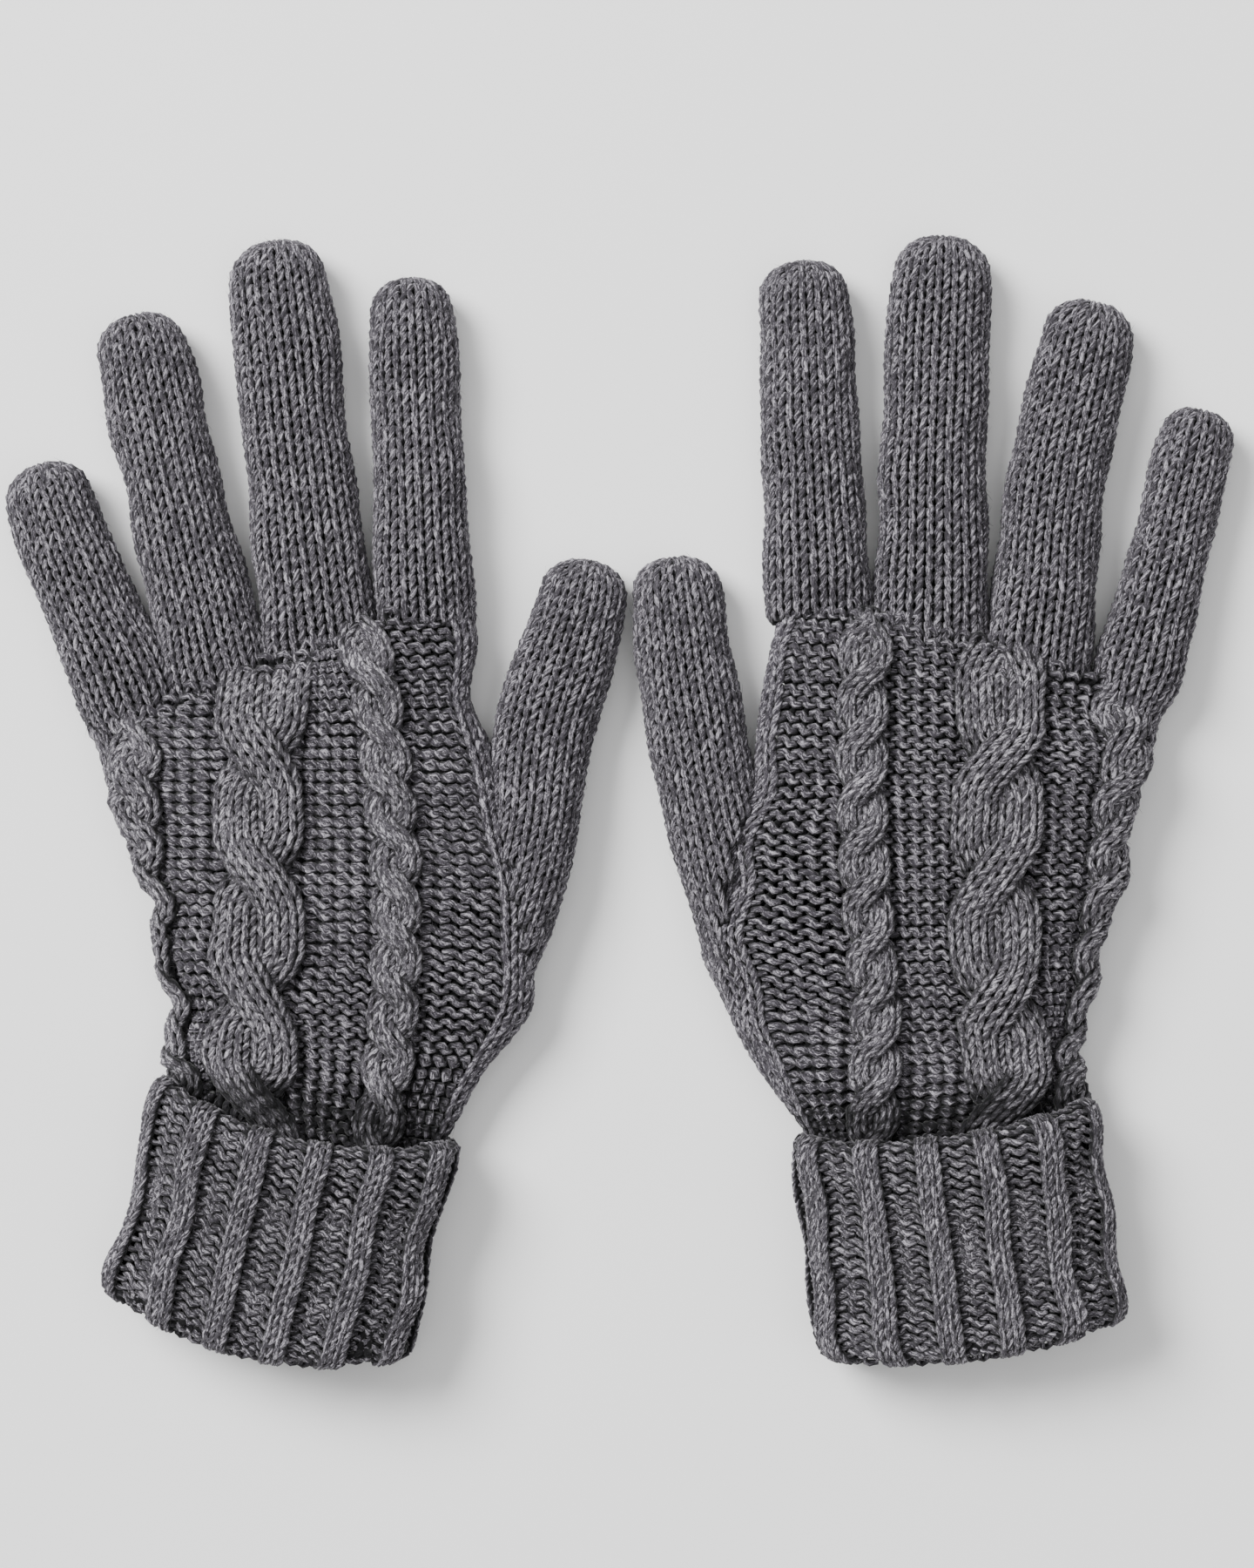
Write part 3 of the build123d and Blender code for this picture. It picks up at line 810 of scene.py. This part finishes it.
def knuckle_gap(tube, u, s, forward, limit):
    """How far behind the roots of the fingers places on the hand lie."""
    return limit - tube.point(u, s)[:, :2] @ forward


def make_cable(yarns, tube, name, lines, rows, spec, forward, limit):
    """Two strands that keep crossing, each over the other in turn, in the same direction."""
    stitches, pitch, period, crossing, rise = spec
    half = stitches * pitch / 2
    fine = np.arange(-2, rows + 2, 0.125)      # in courses
    s = (fine + 0.5) * HAND_COURSE
    coarse = fine[::16]
    spots = np.clip(s[::16], 0, tube.length)
    middle = smooth_curve(coarse, [cable_place(tube, spot, name, lines) for spot in spots], fine)
    girth = smooth_curve(coarse, [tube.girth(spot) for spot in spots], fine)
    from_wrist, to_knuckles = fine * HAND_COURSE, knuckle_gap(tube, middle, s, forward, limit)
    settle = ease(np.clip(from_wrist / CABLE_FADE, 0, 1) * np.clip(to_knuckles / CABLE_FADE, 0, 1))
    gloom = WRIST_SHADE * np.clip(1 - (from_wrist - WRIST_HIDDEN) / WRIST_GLOOM, 0, 1)
    steps = LOOP_STEPS[yarns.kind]
    x = np.arange(0, stitches * steps + 1) / steps
    for strand in (0, 1):
        phase = fine / period
        cell = np.floor(phase)
        part = np.clip((phase - cell) * period / crossing, 0, 1)
        swap = ease(part)
        front = (cell.astype(int) + strand) % 2 == 0
        offset = np.where(front, 1 - 2 * swap, 2 * swap - 1) * half
        lift = np.where(front, rise, CABLE_DIVE * rise) * np.sin(math.pi * part) ** 2
        deep, up = CABLE_SETTLE
        height = (lift + CABLE_LIFT * rise) * settle - yarns.radius * (deep - up * settle)
        height -= CABLE_DROP * np.clip(1 - to_knuckles / KNUCKLE_FADE, 0, 1)
        lean = np.gradient(offset, s)
        for row in range(rows):
            if np.interp(row, fine, to_knuckles) < CABLE_END:
                continue
            wobble = 1 + UNEVEN * rng.normal(0, 1, 3)
            shifted = x + LOOP_SWING * wobble[0] * np.sin(2 * TURN * x) - stitches / 2
            place = row - LOOP_REACH * wobble[1] * np.cos(TURN * x)
            slant = np.interp(place, fine, lean)
            stretch = shifted * pitch / np.hypot(1, slant)
            along = np.interp(place, fine, s) - stretch * slant
            across = np.interp(place, fine, offset) + stretch
            flat = (along / HAND_COURSE) - 0.5
            u = np.interp(flat, fine, middle) + across / np.interp(flat, fine, girth)
            share = shifted / (stitches / 2)
            depth = -LOOP_DEPTH * wobble[2] * np.cos(2 * TURN * x)
            crown = CROWN * rise * (1 - share**2) * np.interp(place, fine, settle)
            out = np.interp(place, fine, height) + depth + crown
            under = np.clip(-np.interp(place, fine, lift) / rise, 0, 1)
            shade = (UNDER_SHADE * under + STRAND_SHADE * share**4) * min(1, rise / FULL_RISE)
            shade = shade + np.interp(place, fine, gloom)
            normal = tube.normal(u, along)
            path = tube.point(u, along) + normal * out[:, None]
            yarns.add(path, normal, False, depth / LOOP_DEPTH, shade)


THUMB_OVERLAP = 3.2 * MM       # how far the gusset's knitting reaches inside the hand's edge
CROTCH = 24 * MM               # the thumb stands clear of the hand beyond here
GUSSET_RAISE = 0.8 * MM


def make_thumb(side):
    """Knits a thumb and the gusset that leads up to it."""
    xs, ys = np.transpose([plan_place(side, thumb_edge) for _, thumb_edge, *_ in HAND_EDGES[side][:6]])
    sign = 1 if side == "left" else -1

    def outside_hand(points):
        inside = (points[:, 0] - np.interp(points[:, 1], ys, xs)) * sign < -THUMB_OVERLAP
        return ~(inside & (points[:, 1] < CROTCH))

    digit = Digit(side, "thumb")
    line = [(plan_place(side, (x, y)), high * MM, share) for x, y, high, share in GUSSET_LINE[side]]
    spots = [p[0] for p in line] + [digit.root[:2]]
    before = []
    for k, (spot, high, share) in enumerate(line):
        direction = unit(spots[k + 1] - spots[max(k - 1, 0)])
        middle = (*spot, high + GUSSET_RAISE)
        before.append((middle, digit.half_width * share, high, heading_of(direction)))
    tube = Tube(digit_sections(digit, before), DIGIT_SQUARENESS, mirrored=side == "right")
    at_root = tube_place(tube, digit.root, digit.rise)
    rows = int(at_root / COURSE)
    start = at_root - rows * COURSE
    gusset = Yarns("plain")
    knit_tube(gusset, tube, start, at_root - COURSE, keep=outside_hand)
    piece = finish_piece(gusset, f"{side}_gusset_knit", [f"{side}_thumb_gusset"])
    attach(piece, f"{side}_hand")
    make_digit(side, "thumb", before, start=at_root - COURSE)


RIB = [1, 1, -1, -1]
RIB_SHARES = [0.20, 0.20, 0.30, 0.30]   # widths of those stitches: a knit rib draws itself together
TUCK_SHADE = 0.3               # shadow on the rib that turns under
RIB_KNIT_LIFT, RIB_PURL_LIFT = 1.0 * MM, -1.3 * MM
CUFF_SAG = {"left": 7.0 * MM, "right": 4.0 * MM}
CUFF_COURSE = 2.6 * MM
CUFF_SQUARENESS = 2.9
RIB_FADE = 14 * MM             # stretch at each edge over which the ribs flatten
RIB_LEAST = 0.25               # what is left of them there
FOLD_RADIUS = 2.8 * MM         # of the turned-back layer's lower fold
LIP_RADIUS = 3.0 * MM          # of the rolled free edge
LIP_ROLL = 0.75 * math.pi      # how far that edge rolls inwards
SLEEVE_REPEATS, LAYER_REPEATS = 10, 12   # of the rib round each layer
SLEEVE_FULL = 18 * MM          # below the cuff's top the sleeve has its full height
SLEEVE_START = 7 * MM
LAYER_INSET = (1.3 * MM, 1.2 * MM)   # room for the ribs, across and up
LAYER_TUCK = 6 * MM            # how far the layer runs back up inside its fold
FOLD_GAP = 0.5 * MM


def rib_courses(yarns, tube, repeats, start, end, tucked=0):
    """Rib round a tube. The last tucked courses lie in the shadow of the layer that they turn under."""
    kinds = np.array(RIB * repeats, float)
    lifts = np.where(kinds > 0, RIB_KNIT_LIFT, RIB_PURL_LIFT)
    edges = (np.concatenate([[0], np.cumsum(RIB_SHARES * repeats)]) + RIB_SHARES[0]) / repeats
    rows = round((end - start) / CUFF_COURSE)
    for row in range(rows):
        s = start + (row + 0.5) * (end - start) / rows
        relief = float(np.clip(min(s - start, end - s) / RIB_FADE, RIB_LEAST, 1))
        shade = TUCK_SHADE if row >= rows - tucked else 0.0
        course(yarns, tube, s, edges, kinds, lifts * relief, closed=True, height=CUFF_COURSE,
               shadow=shade, sink=PURL_SINK * relief)


def make_cuff(side, cuff):
    """Knits a cuff: the sleeve that goes on from the hand, and the layer turned back over it."""
    heading = cuff.heading()
    mirrored = side == "right"

    def section(along, offset, base_half, base_height):
        return (cuff.centre(along), base_half + offset, base_height + offset, heading)

    sleeve_sections = [
        section(along, 0, cuff.sleeve_half, cuff.sleeve_height)
        for along in np.linspace(cuff.sleeve_bottom, cuff.top + SLEEVE_FULL, 4)
    ]
    x, y, z = cuff.centre(cuff.top + SLEEVE_START)
    lowered = (x, y, z - WRIST_DROP)
    sleeve_sections.append((lowered, cuff.sleeve_half, cuff.sleeve_height - WRIST_DROP, heading))
    sag = cuff.down * CUFF_SAG[side]
    sleeve = Tube(sleeve_sections, CUFF_SQUARENESS, mirrored, sag)
    yarns = Yarns("rib")
    rib_courses(yarns, sleeve, SLEEVE_REPEATS, 0, sleeve.length)
    piece = finish_piece(yarns, f"{side}_cuff_sleeve_knit", [f"{side}_cuff_sleeve"])
    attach(piece, f"{side}_hand")

    # the layer comes down inside, turns over at the fold, goes up outside and ends in the rolled lip
    half, high = cuff.half_width - LAYER_INSET[0], cuff.height - LAYER_INSET[1]
    fold = cuff.bottom - FOLD_RADIUS - FOLD_GAP
    sections = [section(fold - LAYER_TUCK, -2 * FOLD_RADIUS, half, high)]
    for step in range(7):
        angle = -math.pi / 2 + step / 6 * math.pi
        along = fold + FOLD_RADIUS * math.cos(angle)
        sections.append(section(along, FOLD_RADIUS * (math.sin(angle) - 1), half, high))
    for share in (0.25, 0.5, 0.75):
        sections.append(section(fold + (cuff.top + LIP_RADIUS - fold) * share, 0, half, high))
    for step in range(7):
        angle = step / 6 * LIP_ROLL
        along = cuff.top + LIP_RADIUS * (1 - math.sin(angle))
        sections.append(section(along, -LIP_RADIUS * (1 - math.cos(angle)), half, high))
    layer = Tube(sections, CUFF_SQUARENESS, mirrored, sag)
    yarns = Yarns("rib")
    rib_courses(yarns, layer, LAYER_REPEATS, 0, layer.length, tucked=2)
    piece = finish_piece(yarns, f"{side}_cuff_turnback_knit", [f"{side}_cuff_turnback"])
    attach(piece, f"{side}_cuff")


# Material: charcoal marl wool

STREAKS = (0.22, 1.9)          # how fine the fibres' pattern is along the yarn and across it
HAIRS = (0.40, 6.0)
HAIR_SHARE = 0.55
DARK_END, MIDDLE_AT, LIGHT_START = 0.62, 0.79, 0.98   # of the mixed fibres, from dark to light
GLOOM = (0.02, 0.02, 0.024)    # colour of the painted shade deep in the fabric
GLOOM_END = 0.25
BUMP = (0.55, 0.25 * MM)       # strength, and depth of the finest fibres


def marl(name, dark, between, light):
    """Wool of dark and light fibres spun together, with a soft sheen and painted shade down between the
    stitches.
    """
    material = bpy.data.materials.new(name)
    material.use_nodes = True
    tree = material.node_tree
    nodes, links = tree.nodes, tree.links
    shader = nodes["Principled BSDF"]
    shader.inputs["Roughness"].default_value = 0.92
    shader.inputs["Sheen Weight"].default_value = 0.12
    shader.inputs["Sheen Roughness"].default_value = 0.45
    shader.inputs["Specular IOR Level"].default_value = 0.25

    fibre = nodes.new("ShaderNodeAttribute")
    fibre.attribute_name = "fibre"

    def strands(stretch, detail):
        """Noise drawn out along the yarn; stretch is its fineness along and across."""
        scale = nodes.new("ShaderNodeVectorMath")
        scale.operation = "MULTIPLY"
        scale.inputs[1].default_value = (stretch[0], stretch[1], stretch[1])
        links.new(fibre.outputs["Vector"], scale.inputs[0])
        noise = nodes.new("ShaderNodeTexNoise")
        noise.inputs["Scale"].default_value = 1.0
        noise.inputs["Detail"].default_value = detail
        links.new(scale.outputs[0], noise.inputs["Vector"])
        return noise.outputs["Fac"]

    streaks, hairs = strands(STREAKS, 2.0), strands(HAIRS, 1.0)
    mix = nodes.new("ShaderNodeMath")
    mix.operation = "MULTIPLY_ADD"
    mix.inputs[1].default_value = HAIR_SHARE
    links.new(hairs, mix.inputs[0])
    links.new(streaks, mix.inputs[2])

    ramp = nodes.new("ShaderNodeValToRGB")
    ramp.color_ramp.elements.new(MIDDLE_AT)
    stops = ((DARK_END, dark), (MIDDLE_AT, between), (LIGHT_START, light))
    for element, (position, colour) in zip(ramp.color_ramp.elements, stops):
        element.position = position
        element.color = (*colour, 1)
    links.new(mix.outputs[0], ramp.inputs["Fac"])

    # painted shade: the wool's colour is darkened where less light gets down between the stitches
    openness = nodes.new("ShaderNodeAttribute")
    openness.attribute_name = "open"
    shadow = nodes.new("ShaderNodeValToRGB")
    shadow.color_ramp.interpolation = "EASE"
    shadow.color_ramp.elements[0].position = GLOOM_END
    shadow.color_ramp.elements[0].color = (*GLOOM, 1)
    shadow.color_ramp.elements[1].position = 1.0
    shadow.color_ramp.elements[1].color = (1, 1, 1, 1)
    links.new(openness.outputs["Fac"], shadow.inputs["Fac"])
    tint = nodes.new("ShaderNodeMix")
    tint.data_type = "RGBA"
    tint.blend_type = "MULTIPLY"
    tint.inputs["Factor"].default_value = 1.0
    links.new(ramp.outputs["Color"], tint.inputs["A"])
    links.new(shadow.outputs["Color"], tint.inputs["B"])
    links.new(tint.outputs["Result"], shader.inputs["Base Color"])

    bump = nodes.new("ShaderNodeBump")
    bump.inputs["Strength"].default_value, bump.inputs["Distance"].default_value = BUMP
    links.new(hairs, bump.inputs["Height"])
    links.new(bump.outputs["Normal"], shader.inputs["Normal"])
    return material


materials = {
    "ground": marl("back_wool", (0.025, 0.022, 0.028), (0.061, 0.056, 0.066), (0.39, 0.37, 0.41)),
    "plain": marl("plain_wool", (0.023, 0.021, 0.026), (0.056, 0.051, 0.060), (0.38, 0.36, 0.40)),
    "cable": marl("cable_wool", (0.030, 0.027, 0.033), (0.076, 0.071, 0.081), (0.43, 0.41, 0.45)),
    "rib": marl("rib_wool", (0.023, 0.021, 0.026), (0.055, 0.051, 0.059), (0.39, 0.37, 0.41)),
}

for side in ("left", "right"):
    make_cuff(side, make_hand(side))
    for digit in ("little", "ring", "middle", "index"):
        make_digit(side, digit)
    make_thumb(side)


# Floor, light and camera

KEY_PLACE = (-0.9, 0.7, 1.1)


def place_light(name, kind, place, power):
    """A light that stands at a place and points at the origin."""
    data = bpy.data.lights.new(name, kind)
    data.energy = power
    light = bpy.data.objects.new(name, data)
    light.location = place
    light.rotation_euler = Vector(-vector(place)).to_track_quat("-Z", "Y").to_euler()
    bpy.context.scene.collection.objects.link(light)
    return data


def area_light(name, place, size, power):
    """A square light that shines at the origin."""
    data = place_light(name, "AREA", place, power)
    data.shape = "SQUARE"
    data.size = size


def make_floor():
    mesh = bpy.data.meshes.new("floor")
    half = 4.0
    corners = [(-half, -half, 0), (half, -half, 0), (half, half, 0), (-half, half, 0)]
    mesh.from_pydata(corners, [], [(0, 1, 2, 3)])
    floor = bpy.data.objects.new("floor", mesh)
    bpy.context.scene.collection.objects.link(floor)
    material = bpy.data.materials.new("floor_paint")
    material.use_nodes = True
    shader = material.node_tree.nodes["Principled BSDF"]
    shader.inputs["Base Color"].default_value = (0.94, 0.94, 0.94, 1)
    shader.inputs["Roughness"].default_value = 0.8
    mesh.materials.append(material)


make_floor()
area_light("key", KEY_PLACE, 0.8, 26)
place_light("key_spread", "SUN", KEY_PLACE, 2.9).angle = math.radians(28)
area_light("fill", (0.9, -0.5, 1.4), 1.4, 6)
area_light("top", (0.0, 0.3, 1.8), 1.6, 12)
world = bpy.data.worlds.new("studio")
world.use_nodes = True
background = world.node_tree.nodes["Background"]
background.inputs["Color"].default_value = (1, 1, 1, 1)
background.inputs["Strength"].default_value = 0.34
bpy.context.scene.world = world

# straight down on the gloves, with their mid-height filling the view's long side
VIEW_LENGTH, VIEW_LEVEL = 387.0 * MM, 12 * MM
VIEW_MIDDLE = (3.0 * MM, 4.3 * MM)
CAMERA_HEIGHT = 1.1
camera_data = bpy.data.cameras.new("camera")
camera_data.lens = camera_data.sensor_width * (CAMERA_HEIGHT - VIEW_LEVEL) / VIEW_LENGTH
camera = bpy.data.objects.new("camera", camera_data)
camera.location = (*VIEW_MIDDLE, CAMERA_HEIGHT)
bpy.context.scene.collection.objects.link(camera)
bpy.context.scene.camera = camera
